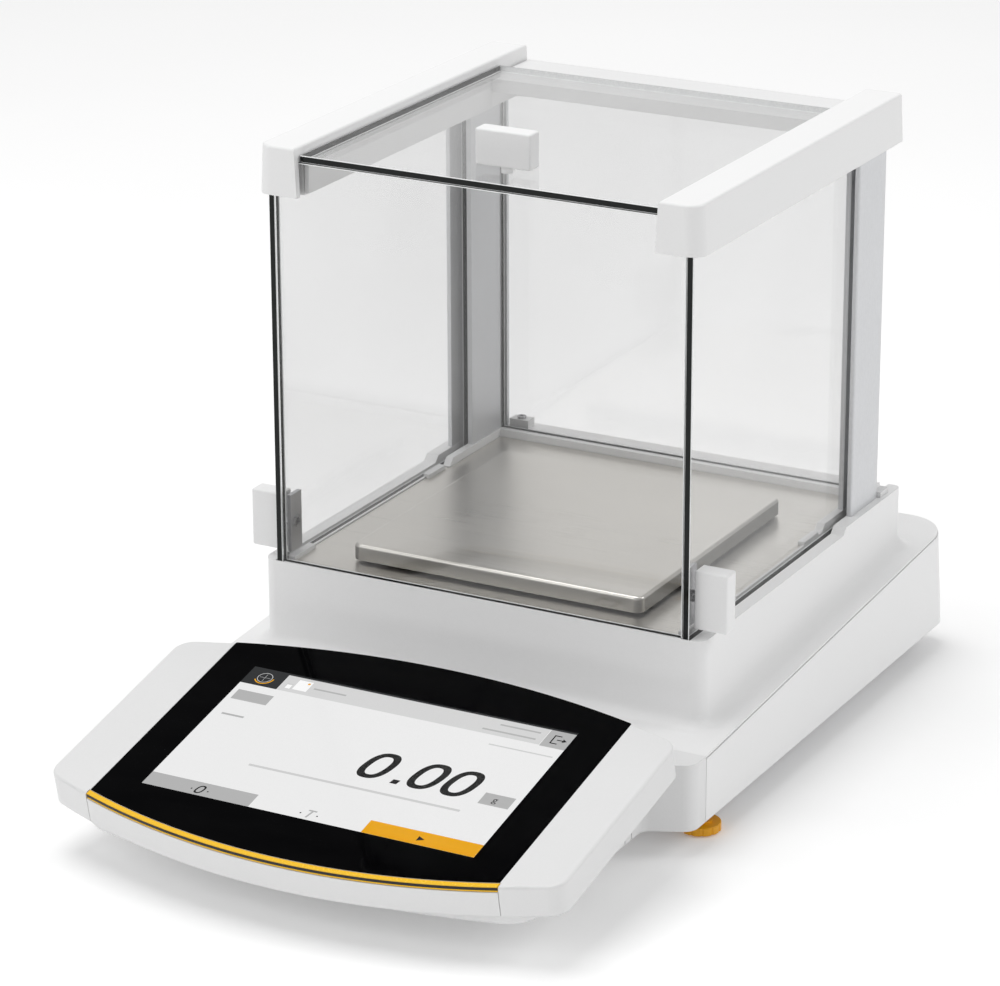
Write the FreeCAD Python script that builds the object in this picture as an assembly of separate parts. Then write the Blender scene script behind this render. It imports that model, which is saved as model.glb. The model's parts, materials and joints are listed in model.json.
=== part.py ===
import FreeCAD, Part

import math
import os

V = FreeCAD.Vector

# Precision balance with a glass draft shield.
# Origin: centre of the footprint on the table. +X right, +Y back, +Z up. Millimetres.

# ---------------------------------------------------------------- driving dimensions
PLINTH_W = 240.0          # width of the lower housing
PLINTH_BACK = 208.25      # rear face of the lower housing
PLINTH_SEAM = -55.25      # joint between the front cap and the side panels
PLINTH_BOTTOM = 11.6      # ground clearance of the housing
TOP_FRONT_Z = 41.3        # height of the sloped top at the seam
TOP_BACK_Z = 59.1         # height of the sloped top at the rear face
PLINTH_CEILING = 80.0     # the rear corners are shaped from the table up to here,
REAR_CORNER_LOW_R = 10.5  # rounder at the top than at the table
REAR_CORNER_TOP_R = 22.0
WALL = 2.5
SEAM = 0.4                # visible joint between covers
BASE_PLATE_T = 2.5
PANEL_T = 2.0             # side and rear panels
PANEL_END_X = 96.0        # a side panel wraps round the rear corner as far as this
FRONT_OPENING_TOP = 36.0  # the housing is open to the front cap up to here
LIP_T = 0.8               # edge of the sloped top, which covers the upper edge of the panels
LIP_INSET = 0.3

PEDESTAL_W = 215.0        # width of the pedestal that carries the chamber
PEDESTAL_FRONT = -33.75
PEDESTAL_BACK = 175.75
PEDESTAL_R = 6.0          # its front corners
PEDESTAL_REAR_R = 3.0
PEDESTAL_FILLET = 6.0     # fillet where it meets the sloped top
RIM_Z = 82.0              # deck of the weighing chamber
REAR_RISE = 3.0           # the deck is this much higher behind the ramp
RAMP_START = 110.75
RAMP_END = 113.75
DECK_T = 3.0

COVER_SCREW_X = 98.5
COVER_SCREW_Y = (-24.0, 70.0, 152.0)
COVER_BOSS_R = 5.0
COVER_BORE_R = 1.6        # thread bore in each boss
COVER_HOLE_R = 2.2        # clearance hole in the base plate
FOOT_BOSS_H = 16.0        # threaded boss for a levelling foot, inside the base plate
CELL_POST_X = 20.0        # posts that carry the weigh cell
CELL_POST_Y = (68.0, 80.0)
CELL_POST_R = 5.0
BOARD_POST_X = (-80.0, -40.0)
BOARD_POST_Y = 57.0
BOARD_POST_R = 2.5
REAR_FOOT_LOW_R = 9.0
REAR_FOOT_TOP_R = 10.5
CUT_HALF = 130.0          # half width of a cut that runs right across the plinth
CUT_TOP = 60.0            # height that clears everything in the plinth

POWER_X = -62.0           # power inlet and data port in the rear panel
POWER_R = 3.2
POWER_BODY_R = 6.0
PORT_X = -36.0
PORT_W = 13.2
PORT_H = 6.4
PORT_BODY_W = 17.4
PORT_BODY_H = 10.4
SOCKET_Z = 24.0
SOCKET_DEPTH = 12.0
SOCKET_BODY = 14.0        # depth of the socket bodies behind the rear face
SOCKET_FIT = 0.3          # gap between a socket body and its hole in the panel

CAP_SIDE_END = -66.65     # the side of the front cap ends here
CAP_NECK_START = -75.55   # and its slanted front meets the neck here
CAP_STEP = 3.0            # the full height of the cap ends this far in front of there
CAP_TOP_Z = 41.5
NECK_X = 100.5
NECK_FRONT = -117.25
NECK_TOP = 32.0
NECK_SEAMS = (-85.2, -91.2)
NECK_SEAM_DEPTH = 1.0
NECK_SEAM_HALF = 0.4
HINGE_BOSS_X = 73.0
HINGE_BOSS_L = 6.0
HINGE_BOSS_R = 7.0
HINGE_BORE_L = 30.0       # the pin bore runs out through the side of the neck

FOOT_X = 110.2            # levelling feet at the front
FOOT_Y = -39.45
FOOT_R = 8.9
FOOT_WHEEL_Z = 0.5
FOOT_WHEEL_T = 3.5
FOOT_PAD_R = 6.8
FOOT_PAD_T = 1.4
FOOT_NOTCHES = 12
STEM_R = 3.0
STEM_L = 20.0
REAR_FOOT_X = 98.0
REAR_FOOT_Y = 184.0

GLASS_T = 3.0
GLASS_FRONT = -33.25      # front face of the front glass
DOOR_OUT = 100.6          # outer face of a side door
DOOR_LEN = 170.0
DOOR_TOP = RIM_Z + 180.0
DOOR_BOTTOM = RIM_Z - 1.0
SLOT_IN = 97.0            # the doors run in a slot between these two planes
SLOT_OUT = 101.3
SLOT_DEPTH = 1.5
DOOR_HOLE_R = 2.6         # hole in a glass pane for a handle

RAIL_FRONT = -36.45
RAIL_BACK = 172.75
RAIL_BOTTOM = RIM_Z + 167.6
RAIL_TOP = RIM_Z + 189.3
RAIL_IN_BOTTOM = 84.7
RAIL_OUT_BOTTOM = 105.2
RAIL_IN_TOP = 85.8
RAIL_OUT_TOP = 104.1
RAIL_WALL = 2.2
RAIL_FRONT_R = 7.0
TOP_GLASS_Z = RIM_Z + 185.7    # upper face of the top door
TOP_GLASS_HALF = 85.0
TOP_GLASS_BACK = 145.15

POST_IN = 94.4
POST_FRONT = 134.25
POST_BACK = 168.0
REAR_GLASS_Y = 162.75
COVER_IN = 101.6
COVER_OUT = 104.0
COVER_FRONT = 127.25
COVER_BACK = 156.25
CROSS_FRONT = 133.05
CROSS_BACK = RAIL_BACK
CROSS_TOP = TOP_GLASS_Z - GLASS_T - 0.3
CROSS_SHELF = CROSS_TOP - 6.4
REAR_GLASS_TOP = CROSS_SHELF - 0.2
BRACKET_X = 86.5
BRACKET_T = 4.0
BRACKET_Y = REAR_GLASS_Y + GLASS_T + 0.2

PAN_SIZE = 142.0
PAN_FRONT = -18.45
PAN_TOP = RIM_Z + 8.1
PAN_SKIRT = 7.2
PAN_T = 1.2
PAN_R = 4.0
PAN_Y = PAN_FRONT + PAN_SIZE / 2
FLOOR_Z = RIM_Z - 0.5     # upper face of the stainless chamber floor
FLOOR_T = 1.2
FLOOR_X = 95.6            # half width between the doors
FLOOR_REAR_X = 93.0       # half width between the rear posts
FLOOR_FRONT = GLASS_FRONT + GLASS_T + 0.4
FLOOR_STEP = RAMP_START - 1.5
FLOOR_BACK = 159.6
FLOOR_LEDGE = 6.0         # the floor rests on a ledge this wide
FLOOR_FIT = 0.3
DOOR_GUIDE_IN = 93.8      # low strips that keep the doors in line
DOOR_GUIDE_H = 1.4

RECEIVER_HOLE_R = 11.0    # load receiver under the pan
RECEIVER_R = 7.0
RECEIVER_TOP = 81.0
CELL_Z = 22.0             # underside of the weigh cell
CELL_TOP = 56.0
CELL_HALF = 28.0
CELL_SLOTS = (28.0, 49.0)
MAGNET_Z = 40.0
MOTOR_X = 52.0            # drive of the internal adjustment weight
MOTOR_R = 9.0
WEIGHT_Y = PAN_Y + 14.0
BOARD_Z = 20.0            # underside of the main board
BOARD_T = 1.6

DISPLAY_TILT = 11.95      # degrees, rear edge high
DISPLAY_Y = -134.75       # centre of the screen
DISPLAY_Z = 46.8
DISPLAY_W = 240.0
DISPLAY_T = 14.0
DISPLAY_R = 9.0
GLASS_HALF_W = 95.5
REAR_CREST = 71.2         # middle of the curved rear edge, from the screen centre
REAR_ARC_R = 416.0
FRONT_CREST = -75.2       # middle of the curved front edge
FRONT_ARC_R = 313.0
COVER_GLASS_T = 1.8
GLASS_FRONT_CREST = FRONT_CREST + 3.2
SCREEN_W = 155.0
SCREEN_H = 91.0
ACCENT_D = 2.4            # depth of the coloured line along the glass
ACCENT_T = 2.4            # and its height above the front trim
ACCENT_SET_BACK = 0.45
TRIM_D = 3.0              # thickness of the curved front trim
TRIM_HALF = 96.2
HINGE_Y = -103.25
HINGE_Z = 24.0
HINGE_R = 3.0
RUN_FIT = 0.05
LUG_X0 = 80.0             # hinge lugs of the control unit
LUG_X1 = 94.0
LUG_R = 6.5
UNDER_HALF = 108.0        # raised belly under the control unit
UNDER_FRONT = -66.0
UNDER_BACK = 7.0
UNDER_DEPTH = 22.3
UNDER_ARC_R = 500.0
UNDER_CORNER_R = 18.0
UNDER_FILLET = 4.0

HANDLE_Y0 = GLASS_FRONT + 4.6
HANDLE_Y1 = GLASS_FRONT + 13.5
HANDLE_Z0 = RIM_Z + 3.3
HANDLE_Z1 = RIM_Z + 29.5
HANDLE_OUT = 115.8
HANDLE_MID_Y = (HANDLE_Y0 + HANDLE_Y1) / 2
HANDLE_MID_Z = (HANDLE_Z0 + HANDLE_Z1) / 2
TOP_HANDLE_Y0 = GLASS_FRONT + 23.5
TOP_HANDLE_Y1 = GLASS_FRONT + 32.0
TOP_HANDLE_HALF = 13.2
TOP_HANDLE_Z = RIM_Z + 201.5
TOP_HANDLE_Y = (TOP_HANDLE_Y0 + TOP_HANDLE_Y1) / 2
CLAMP_T = 2.0
SCREW_R = 2.5             # handle screws
SCREW_HEAD_R = 3.0
SCREW_HEAD_T = 0.6
SCREW_SOCKET_R = 1.6
SCREW_SOCKET_D = 2.2
SCREW_GRIP = 7.0          # length of thread in a handle


# ---------------------------------------------------------------- helpers
def box(x0, x1, y0, y1, z0, z1):
    return Part.makeBox(x1 - x0, y1 - y0, z1 - z0, V(x0, y0, z0))


def rod(x, y, z, r, length, axis=(0, 0, 1)):
    return Part.makeCylinder(r, length, V(x, y, z), V(*axis))


def tube(x, y, z, r_out, r_in, length, axis=(0, 0, 1)):
    return rod(x, y, z, r_out, length, axis).cut(rod(x, y, z, r_in, length, axis))


def mirror(shape):
    return shape.mirror(V(0, 0, 0), V(1, 0, 0))


def side_profile(points, x0, x1):
    """Polygon of (y, z) points, extruded across the width."""
    loop = [V(x0, y, z) for y, z in points]
    loop.append(loop[0])
    return Part.Face(Part.makePolygon(loop)).extrude(V(x1 - x0, 0, 0))


def front_profile(points, y0, y1):
    """Polygon of (x, z) points, extruded from front to back."""
    loop = [V(x, y0, z) for x, z in points]
    loop.append(loop[0])
    return Part.Face(Part.makePolygon(loop)).extrude(V(0, y1 - y0, 0))


def plan_profile(points, z0, z1):
    """Polygon of (x, y) points, extruded upwards."""
    loop = [V(x, y, z0) for x, y in points]
    loop.append(loop[0])
    return Part.Face(Part.makePolygon(loop)).extrude(V(0, 0, z1 - z0))


def is_upright(edge):
    first = edge.Vertexes[0].Point
    last = edge.Vertexes[-1].Point
    return abs(first.x - last.x) < 1e-6 and abs(first.y - last.y) < 1e-6 and abs(first.z - last.z) > 1e-3


def round_uprights(shape, radius, where=lambda point: True):
    edges = [e for e in shape.Edges if is_upright(e) and where(e.Vertexes[0].Point)]
    return shape.makeFillet(radius, edges)


def round_level(shape, radius, z):
    """Rounds every edge that lies wholly in the plane at height z."""
    edges = []
    for edge in shape.Edges:
        if all(abs(v.Point.z - z) < 1e-4 for v in edge.Vertexes):
            if abs(edge.CenterOfMass.z - z) < 1e-4:
                edges.append(edge)
    return shape.makeFillet(radius, edges)


def group(shapes):
    return Part.makeCompound(shapes)


def screw(x, y, z, axis, length, head_r, shank_r, head, socket_r, socket_d):
    """Socket screw: the head's underside is at the point given, the shank runs along axis."""
    direction = V(*axis)
    under = V(x, y, z)
    top = under - direction * head
    body = Part.makeCylinder(head_r, head, top, direction)
    body = body.fuse(Part.makeCylinder(shank_r, length, under, direction))
    return body.cut(Part.makeCylinder(socket_r, socket_d, top, direction))


# ---------------------------------------------------------------- lower housing
def plinth_block(inset, z0, z1):
    """Plan of the lower housing, with rear corners that get rounder towards the top."""
    half = PLINTH_W / 2 - inset
    block = box(-half, half, PLINTH_SEAM, PLINTH_BACK - inset, 0, PLINTH_CEILING)
    for side in (-1, 1):
        for edge in block.Edges:
            point = edge.CenterOfMass
            if is_upright(edge) and point.y > 0 and point.x * side > half - 1:
                block = block.makeFillet(REAR_CORNER_LOW_R - inset, REAR_CORNER_TOP_R - inset, [edge])
                break
    return block.common(box(-half, half, PLINTH_SEAM, PLINTH_BACK, z0, z1))


def above_slope(drop=0.0):
    """Everything above the sloped top surface, lowered by drop."""
    run = PLINTH_BACK - PLINTH_SEAM
    slope = (TOP_BACK_Z - TOP_FRONT_Z) / run
    margin = 60.0
    y0 = PLINTH_SEAM - margin
    y1 = PLINTH_BACK + margin
    z0 = TOP_FRONT_Z - margin * slope - drop
    z1 = TOP_BACK_Z + margin * slope - drop
    ceiling = RIM_Z + 60.0
    return side_profile([(y0, z0), (y1, z1), (y1, ceiling), (y0, ceiling)], -160, 160)


def cover_screw_points():
    return [(side * COVER_SCREW_X, y) for side in (-1, 1) for y in COVER_SCREW_Y]


def make_base_plate():
    floor = PLINTH_BOTTOM + BASE_PLATE_T
    plate = plinth_block(PANEL_T + SEAM, PLINTH_BOTTOM, floor)
    plate = plate.cut(box(-CUT_HALF, CUT_HALF, PLINTH_SEAM - 1, PLINTH_SEAM + 1, 0, CUT_TOP / 2))
    for side in (-1, 1):
        plate = plate.fuse(rod(side * FOOT_X, FOOT_Y, PLINTH_BOTTOM, 2 * STEM_R, FOOT_BOSS_H))
        plate = plate.cut(rod(side * FOOT_X, FOOT_Y, 0, STEM_R + RUN_FIT, CUT_TOP))
    for x, y in cover_screw_points():
        plate = plate.cut(rod(x, y, 0, COVER_HOLE_R, CUT_TOP / 2))
    for x in (-CELL_POST_X, CELL_POST_X):
        for y in CELL_POST_Y:
            plate = plate.fuse(rod(x, PAN_Y + y, floor - 0.5, CELL_POST_R, CELL_Z - floor + 0.5))
    for x in BOARD_POST_X:
        for y in (PAN_Y - BOARD_POST_Y, PAN_Y + BOARD_POST_Y):
            plate = plate.fuse(rod(x, y, floor - 0.5, BOARD_POST_R, BOARD_Z - floor + 0.5))
    return plate.removeSplitter()


def make_upper_housing():
    """One moulding: the sloped top of the plinth and the hollow pedestal above it."""
    half = PEDESTAL_W / 2
    inset = PANEL_T + SEAM
    ceiling = TOP_BACK_Z + 10.0
    lower = plinth_block(inset, PLINTH_BOTTOM + 20.0, ceiling)
    lip = plinth_block(LIP_INSET, PLINTH_BOTTOM + 20.0, ceiling).common(above_slope(LIP_T))
    lower = lower.fuse(lip).cut(above_slope())
    pedestal = box(-half, half, PEDESTAL_FRONT, PEDESTAL_BACK, 35.0, RIM_Z + REAR_RISE)
    pedestal = round_uprights(pedestal, PEDESTAL_R, lambda p: p.y < 0)
    pedestal = round_uprights(pedestal, PEDESTAL_REAR_R, lambda p: p.y > PEDESTAL_BACK - 1)
    body = lower.fuse(pedestal).removeSplitter()
    foot = [e for e in body.Edges if on_slope(e) and inside_pedestal(e)]
    body = body.makeFillet(PEDESTAL_FILLET, foot)
    ramp = [(PEDESTAL_FRONT - 5, RIM_Z), (RAMP_START, RIM_Z), (RAMP_END, RIM_Z + REAR_RISE),
            (RAMP_END, RIM_Z + 20), (PEDESTAL_FRONT - 5, RIM_Z + 20)]
    body = body.cut(side_profile(ramp, -half - 5, half + 5))
    hollow = plinth_block(inset + WALL, 0, ceiling)
    hollow = hollow.cut(above_slope(WALL))
    body = body.cut(hollow)
    body = body.cut(box(-CUT_HALF, CUT_HALF, PLINTH_SEAM - 1, PLINTH_SEAM + WALL, 0, FRONT_OPENING_TOP))
    body = body.cut(box(-half + WALL, half - WALL, PEDESTAL_FRONT + WALL, PEDESTAL_BACK - WALL,
                        0, RIM_Z - DECK_T))
    body = body.cut(floor_plan(FLOOR_FIT, FLOOR_Z - FLOOR_T, RIM_Z + 10))
    body = body.cut(box(-FLOOR_REAR_X + FLOOR_LEDGE, FLOOR_REAR_X - FLOOR_LEDGE, FLOOR_FRONT + FLOOR_LEDGE,
                        FLOOR_BACK - FLOOR_LEDGE, RIM_Z - 20, RIM_Z))
    for side in (-1, 1):
        x0, x1 = sorted((side * SLOT_IN, side * SLOT_OUT))
        body = body.cut(box(x0, x1, GLASS_FRONT - 0.1, PEDESTAL_BACK + 5, RIM_Z - SLOT_DEPTH, RIM_Z + 10))
    boss_z = PLINTH_BOTTOM + BASE_PLATE_T
    for x, y in cover_screw_points():
        body = body.fuse(tube(x, y, boss_z, COVER_BOSS_R, COVER_BORE_R, RIM_Z - DECK_T - boss_z))
    return body.removeSplitter()


def on_slope(edge):
    run = PLINTH_BACK - PLINTH_SEAM
    slope = (TOP_BACK_Z - TOP_FRONT_Z) / run
    for vertex in edge.Vertexes:
        expected = TOP_FRONT_Z + (vertex.Point.y - PLINTH_SEAM) * slope
        if abs(vertex.Point.z - expected) > 1e-3:
            return False
    return True


def inside_pedestal(edge):
    half = PEDESTAL_W / 2 + 0.01
    return all(abs(v.Point.x) <= half and PEDESTAL_FRONT - 0.01 <= v.Point.y <= PEDESTAL_BACK + 0.01
               for v in edge.Vertexes)


def below_lip():
    return above_slope(LIP_T + SEAM)


def make_side_panel():
    skin = plinth_block(0, PLINTH_BOTTOM, TOP_BACK_Z + 10.0)
    skin = skin.cut(plinth_block(PANEL_T, 0, TOP_BACK_Z + 20.0))
    skin = skin.cut(below_lip())
    keep = box(PANEL_END_X, 130, PLINTH_SEAM + SEAM, PLINTH_BACK + 5, 0, 90)
    return skin.common(keep)


def make_rear_panel():
    end = PANEL_END_X - SEAM
    hole_w = PORT_BODY_W / 2 + SOCKET_FIT
    hole_h = PORT_BODY_H / 2 + SOCKET_FIT
    panel = box(-end, end, PLINTH_BACK - PANEL_T, PLINTH_BACK, PLINTH_BOTTOM, TOP_BACK_Z + 5)
    panel = panel.cut(below_lip())
    panel = panel.cut(rod(POWER_X, PLINTH_BACK - 10, SOCKET_Z, POWER_BODY_R + SOCKET_FIT, 20, (0, 1, 0)))
    panel = panel.cut(box(PORT_X - hole_w, PORT_X + hole_w, PLINTH_BACK - 10, PLINTH_BACK + 5,
                          SOCKET_Z - hole_h, SOCKET_Z + hole_h))
    return panel


def make_power_jack():
    jack = rod(POWER_X, PLINTH_BACK - SOCKET_BODY, SOCKET_Z, POWER_BODY_R, SOCKET_BODY - 0.5, (0, 1, 0))
    jack = jack.cut(rod(POWER_X, PLINTH_BACK - SOCKET_DEPTH, SOCKET_Z, POWER_R, 20, (0, 1, 0)))
    return jack


def make_data_port():
    half_w = PORT_BODY_W / 2
    half_h = PORT_BODY_H / 2
    shell = box(PORT_X - half_w, PORT_X + half_w, PLINTH_BACK - SOCKET_BODY, PLINTH_BACK - 0.5,
                SOCKET_Z - half_h, SOCKET_Z + half_h)
    return shell.cut(box(PORT_X - PORT_W / 2, PORT_X + PORT_W / 2, PLINTH_BACK - SOCKET_DEPTH,
                         PLINTH_BACK + 5, SOCKET_Z - PORT_H / 2, SOCKET_Z + PORT_H / 2))


def cap_block(inset, z0, z1):
    """Plan of the front cap: full width at the seam, slanted shoulders, and the narrower neck."""
    half = PLINTH_W / 2 - inset
    neck = NECK_X - inset
    right = [(half, PLINTH_SEAM), (half, CAP_SIDE_END + inset), (neck, CAP_NECK_START + inset),
             (neck, NECK_FRONT + inset)]
    block = plan_profile(right + [(-x, y) for x, y in reversed(right)], z0, z1)
    block = round_uprights(block, 7.0 - inset, lambda p: abs(p.y - CAP_SIDE_END - inset) < 0.1)
    return round_uprights(block, 5.0 + inset, lambda p: abs(p.y - CAP_NECK_START - inset) < 0.1)


def make_front_cap():
    neck_back = CAP_NECK_START - CAP_STEP
    inner = NECK_X - WALL
    floor = PLINTH_BOTTOM + WALL
    cap = cap_block(0, PLINTH_BOTTOM, CAP_TOP_Z)
    cap = cap.cut(box(-CUT_HALF, CUT_HALF, NECK_FRONT - 5, neck_back, NECK_TOP, CUT_TOP))
    cap = cap.cut(cap_block(WALL, floor, CAP_TOP_Z - WALL))
    cap = cap.cut(box(-inner, inner, NECK_FRONT + WALL, neck_back, floor, CUT_TOP))
    cap = cap.cut(box(-PLINTH_W / 2 + WALL, PLINTH_W / 2 - WALL, PLINTH_SEAM - WALL, PLINTH_SEAM + 1,
                      floor, CAP_TOP_Z - WALL))
    for y in NECK_SEAMS:
        for x in (-NECK_X, NECK_X):
            cap = cap.cut(box(x - NECK_SEAM_DEPTH, x + NECK_SEAM_DEPTH, y - NECK_SEAM_HALF,
                              y + NECK_SEAM_HALF, PLINTH_BOTTOM - 1, CUT_TOP))
    for side in (-1, 1):
        x0, x1 = sorted((side * HINGE_BOSS_X, side * (HINGE_BOSS_X + HINGE_BOSS_L)))
        cap = cap.fuse(rod(x0, HINGE_Y, HINGE_Z, HINGE_BOSS_R, x1 - x0, (1, 0, 0)))
        cap = cap.fuse(box(x0, x1, HINGE_Y - HINGE_BOSS_R, HINGE_Y + HINGE_BOSS_R, floor - 1, HINGE_Z))
        cap = cap.cut(rod(side * HINGE_BOSS_X, HINGE_Y, HINGE_Z, HINGE_R, HINGE_BORE_L, (side, 0, 0)))
    return cap.removeSplitter()


def make_hinge_pins():
    length = NECK_X - 0.5 - HINGE_BOSS_X
    return group([rod(side * HINGE_BOSS_X, HINGE_Y, HINGE_Z, HINGE_R, length, (side, 0, 0))
                  for side in (-1, 1)])


def make_rear_feet():
    feet = []
    for side in (-1, 1):
        centre = V(side * REAR_FOOT_X, REAR_FOOT_Y, 0)
        feet.append(Part.makeCone(REAR_FOOT_LOW_R, REAR_FOOT_TOP_R, PLINTH_BOTTOM, centre))
    return group(feet)


def make_screws():
    """Cover screws from below, and the two screws of the rear glass brackets."""
    shapes = [screw(x, y, PLINTH_BOTTOM, (0, 0, 1), 14.0, 3.6, 1.55, 2.4, 1.8, 1.4)
              for x, y in cover_screw_points()]
    top = RIM_Z + REAR_RISE + BRACKET_T
    for side in (-1, 1):
        shapes.append(screw(side * BRACKET_X, BRACKET_Y + 3.0, top, (0, 0, -1), 3.6, 2.2, 1.2, 1.2, 1.1, 0.7))
    return group(shapes)


# ---------------------------------------------------------------- feet
def make_foot_pad():
    return rod(FOOT_X, FOOT_Y, 0, FOOT_PAD_R, FOOT_PAD_T)


def make_foot_knob():
    """Wheel with finger notches, and the threaded stem above it."""
    wheel = rod(FOOT_X, FOOT_Y, FOOT_WHEEL_Z, FOOT_R, FOOT_WHEEL_T)
    wheel = wheel.makeFillet(0.5, wheel.Edges[0:1])
    wheel = wheel.cut(rod(FOOT_X, FOOT_Y, 0, FOOT_PAD_R + 0.3, FOOT_PAD_T + 0.1))
    reach = FOOT_R + 0.5
    for n in range(FOOT_NOTCHES):
        angle = 2 * math.pi * n / FOOT_NOTCHES
        wheel = wheel.cut(rod(FOOT_X + reach * math.cos(angle), FOOT_Y + reach * math.sin(angle), 0, 0.9, 6))
    collar = rod(FOOT_X, FOOT_Y, 3.5, 5.0, 1.5)
    stem = rod(FOOT_X, FOOT_Y, 3.5, STEM_R, STEM_L)
    return wheel.fuse(collar).fuse(stem)


# ---------------------------------------------------------------- weighing chamber
def floor_plan(grow, z0, z1):
    """Outline of the chamber floor: wide between the doors, narrower between the rear posts."""
    front = box(-FLOOR_X - grow, FLOOR_X + grow, FLOOR_FRONT - grow, FLOOR_STEP + grow, z0, z1)
    rear = box(-FLOOR_REAR_X - grow, FLOOR_REAR_X + grow, FLOOR_STEP - 1, FLOOR_BACK + grow, z0, z1)
    return front.fuse(rear).removeSplitter()


def make_chamber_floor():
    plate = floor_plan(0, FLOOR_Z - FLOOR_T, FLOOR_Z)
    plate = round_uprights(plate, 1.5, lambda p: p.y < 0 or p.y > FLOOR_BACK - 1)
    return plate.cut(rod(0, PAN_Y, FLOOR_Z - 5, RECEIVER_HOLE_R, 10))


def make_dust_collar():
    return tube(0, PAN_Y, FLOOR_Z, 16.0, RECEIVER_HOLE_R, 2.0)


def receiver_cone(clearance):
    """Locating cone of the load receiver; its flat top carries the pan."""
    height = 3.0
    return Part.makeCone(RECEIVER_R + clearance, 5.0 + clearance, height, V(0, PAN_Y, RECEIVER_TOP - height))


def make_load_receiver():
    column = rod(0, PAN_Y, CELL_TOP, RECEIVER_R, RECEIVER_TOP - 3.0 - CELL_TOP)
    return column.fuse(receiver_cone(0)).removeSplitter()


def make_weighing_pan():
    half = PAN_SIZE / 2
    z0 = PAN_TOP - PAN_SKIRT
    pan = box(-half, half, PAN_FRONT, PAN_FRONT + PAN_SIZE, z0, PAN_TOP)
    pan = round_uprights(pan, PAN_R)
    pan = round_level(pan, 1.6, PAN_TOP)
    inner = box(-half + PAN_T, half - PAN_T, PAN_FRONT + PAN_T, PAN_FRONT + PAN_SIZE - PAN_T,
                z0 - 1, PAN_TOP - PAN_T)
    inner = round_uprights(inner, PAN_R - PAN_T)
    inner = round_level(inner, 0.8, PAN_TOP - PAN_T)
    return pan.cut(inner)


def make_pan_support():
    """Square carrier plate with a conical socket that sits on the load receiver."""
    top = PAN_TOP - PAN_T
    plate = box(-55, 55, PAN_Y - 55, PAN_Y + 55, top - 2.5, top)
    plate = round_uprights(plate, 12.0)
    for side in (-1, 1):
        rib = box(side * 30 - 1.5, side * 30 + 1.5, PAN_Y - 45, PAN_Y + 45, top - 5.0, top - 2.0)
        plate = plate.fuse(rib)
    boss_z = RECEIVER_TOP - 2.4
    plate = plate.fuse(rod(0, PAN_Y, boss_z, 10.0, top - boss_z - 1.0))
    plate = plate.cut(receiver_cone(0.2))
    return plate.removeSplitter()


def make_door_guides():
    """Low strips on the deck that keep the inner face of each door in line."""
    strips = []
    lower_out = FLOOR_X - 0.1
    for side in (-1, 1):
        for y0, y1 in ((GLASS_FRONT + 4.0, GLASS_FRONT + 22.0), (RAMP_START - 19.0, RAMP_START - 4.0)):
            x0, x1 = sorted((side * DOOR_GUIDE_IN, side * SLOT_IN))
            strip = box(x0, x1, y0, y1, RIM_Z, RIM_Z + DOOR_GUIDE_H)
            x0, x1 = sorted((side * DOOR_GUIDE_IN, side * lower_out))
            strips.append(strip.fuse(box(x0, x1, y0, y1, FLOOR_Z, RIM_Z)).removeSplitter())
    return group(strips)


# ---------------------------------------------------------------- draft shield frame
def make_rear_post():
    """Extruded upright beside the door slot, with a small lip behind the edge of the rear glass."""
    z0 = RIM_Z + REAR_RISE
    web = box(POST_IN, SLOT_IN - 0.2, POST_FRONT, POST_BACK, z0, RAIL_BOTTOM)
    lip = box(POST_IN - 1.6, POST_IN + 1, REAR_GLASS_Y + GLASS_T + 0.2, POST_BACK, z0, RAIL_BOTTOM)
    return web.fuse(lip).removeSplitter()


def make_post_cover():
    cover = box(COVER_IN, COVER_OUT, COVER_FRONT, COVER_BACK, RIM_Z + REAR_RISE, RAIL_BOTTOM)
    return round_uprights(cover, 0.9, lambda p: p.x > COVER_OUT - 0.1)


def rail_section(inset, drop=0.0):
    return [(RAIL_IN_BOTTOM + inset, RAIL_BOTTOM - drop), (RAIL_OUT_BOTTOM - inset, RAIL_BOTTOM - drop),
            (RAIL_OUT_TOP - inset, RAIL_TOP - inset), (RAIL_IN_TOP + inset, RAIL_TOP - inset)]


def make_rail_cover():
    """White cap over the top of the side: hollow from below, with slots for door and front glass."""
    cap = front_profile(rail_section(0), RAIL_FRONT, RAIL_BACK)
    front_outer = [e for e in cap.Edges if all(v.Point.y < RAIL_FRONT + 0.1 for v in e.Vertexes)
                   and min(v.Point.x for v in e.Vertexes) > 100]
    cap = cap.makeFillet(RAIL_FRONT_R, front_outer)
    rear_outer = [e for e in cap.Edges if all(v.Point.y > RAIL_BACK - 0.1 for v in e.Vertexes)
                  and min(v.Point.x for v in e.Vertexes) > 100]
    cap = cap.makeFillet(2.5, rear_outer)
    cap = round_level(cap, 1.2, RAIL_TOP)
    hollow = front_profile(rail_section(RAIL_WALL, 1.0), RAIL_FRONT + 2.4, RAIL_BACK - 2.2)
    hollow_outer = [e for e in hollow.Edges if all(v.Point.y < RAIL_FRONT + 2.5 for v in e.Vertexes)
                    and min(v.Point.x for v in e.Vertexes) > 100]
    hollow = hollow.makeFillet(3.5, hollow_outer)
    cap = cap.cut(hollow)
    cap = cap.cut(box(SLOT_IN, SLOT_OUT, RAIL_BACK - 10, RAIL_BACK + 5, RAIL_BOTTOM - 5, DOOR_TOP + 1.0))
    cap = cap.cut(box(80, 90, GLASS_FRONT - 0.2, GLASS_FRONT + GLASS_T + 0.3, RAIL_BOTTOM - 5,
                      TOP_GLASS_Z - GLASS_T - 0.1))
    return cap


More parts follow.
